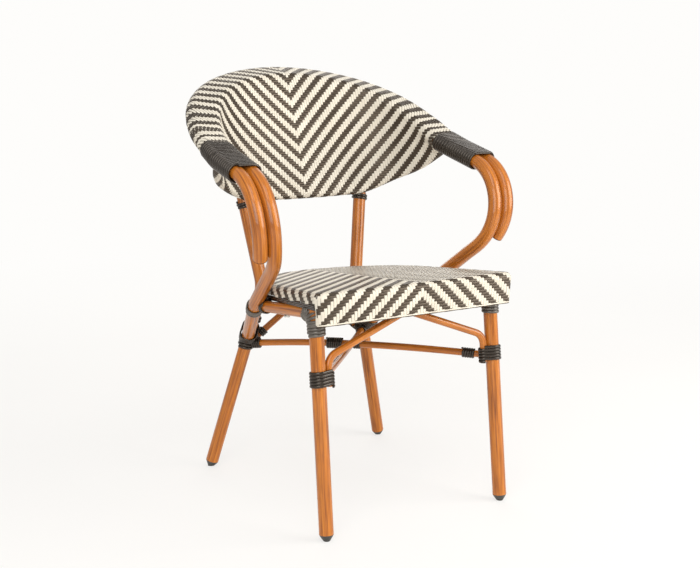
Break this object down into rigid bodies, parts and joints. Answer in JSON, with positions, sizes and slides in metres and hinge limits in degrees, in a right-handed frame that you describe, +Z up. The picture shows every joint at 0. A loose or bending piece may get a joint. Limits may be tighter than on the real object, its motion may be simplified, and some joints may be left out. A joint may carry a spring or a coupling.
{
  "type": "rattan bistro armchair",
  "caption": "Bistro armchair with a bamboo-look bent tube frame, woven chevron seat and wraparound back, cord-wrapped arms and joints, and plastic glides.",
  "frame": {"origin": "on the floor, under the centre of the chair's bounding box", "axes": "+Z up, -Y to the front where the sitter's knees go, +X to the sitter's left when seated (the right-hand side seen from the front)"},
  "size_m": [0.5966, 0.5992, 0.8478],
  "materials": {
    "bamboo_paint": "glossy bamboo-look paint",
    "hidden_tube_paint": "plain paint under the weave",
    "black_plastic": "moulded matte",
    "grey_cord": "flat wrapped strand, grey-brown",
    "dark_cord": "flat wrapped strand, near black",
    "woven_strand": "woven synthetic strand in a two-tone chevron",
    "dark_strand": "bound strand, near black",
    "screw_steel": "plain"
  },
  "bodies": {
    "root": {"front_leg_right": "bamboo_paint", "front_leg_left": "bamboo_paint", "front_glide_right": "black_plastic", "front_glide_left": "black_plastic", "rear_glide_right": "black_plastic", "rear_glide_left": "black_plastic", "arm_outer_tube_right": "bamboo_paint", "arm_outer_tube_left": "bamboo_paint", "arm_end_plug_right": "black_plastic", "arm_end_plug_left": "black_plastic", "back_outer_rim": "hidden_tube_paint", "back_inner_rim": "hidden_tube_paint", "back_edge_rail": "hidden_tube_paint", "back_weave": "woven_strand", "rear_leg_right": "bamboo_paint", "rear_leg_left": "bamboo_paint", "front_rail": "bamboo_paint", "seat_weave": "woven_strand", "seat_binding": "dark_strand", "seat_side_screw_right": "screw_steel", "seat_side_screw_left": "screw_steel", "seat_rear_screw_right": "screw_steel", "seat_rear_screw_left": "screw_steel", "seat_pan_front": "hidden_tube_paint", "seat_pan_bow": "hidden_tube_paint", "seat_bar_front": "hidden_tube_paint", "seat_bar_rear": "hidden_tube_paint", "side_rail_right": "bamboo_paint", "side_rail_left": "bamboo_paint", "rear_rail": "bamboo_paint", "front_arch_brace": "bamboo_paint", "arm_inner_tube_right": "bamboo_paint", "arm_inner_tube_left": "bamboo_paint", "rear_arch_brace": "bamboo_paint", "cross_stretcher_over": "bamboo_paint", "cross_stretcher_under": "bamboo_paint", "arm_wrap_right": "dark_cord", "arm_wrap_left": "dark_cord", "leg_mid_wrap_right": "dark_cord", "leg_mid_wrap_left": "dark_cord", "leg_top_wrap_right": "grey_cord", "leg_top_wrap_left": "grey_cord", "rail_wrap_right": "grey_cord", "rail_wrap_left": "grey_cord", "arm_foot_wrap_right": "grey_cord", "arm_foot_wrap_left": "grey_cord", "post_wrap_right": "dark_cord", "post_wrap_left": "dark_cord", "rear_lashing_right": "dark_cord", "rear_lashing_left": "dark_cord", "crossing_wrap_rear": "dark_cord", "crossing_wrap_front": "dark_cord", "strut_sleeve_right": "dark_cord", "strut_sleeve_left": "dark_cord", "stretcher_sleeve": "dark_cord"}
  },
  "joints": []
}
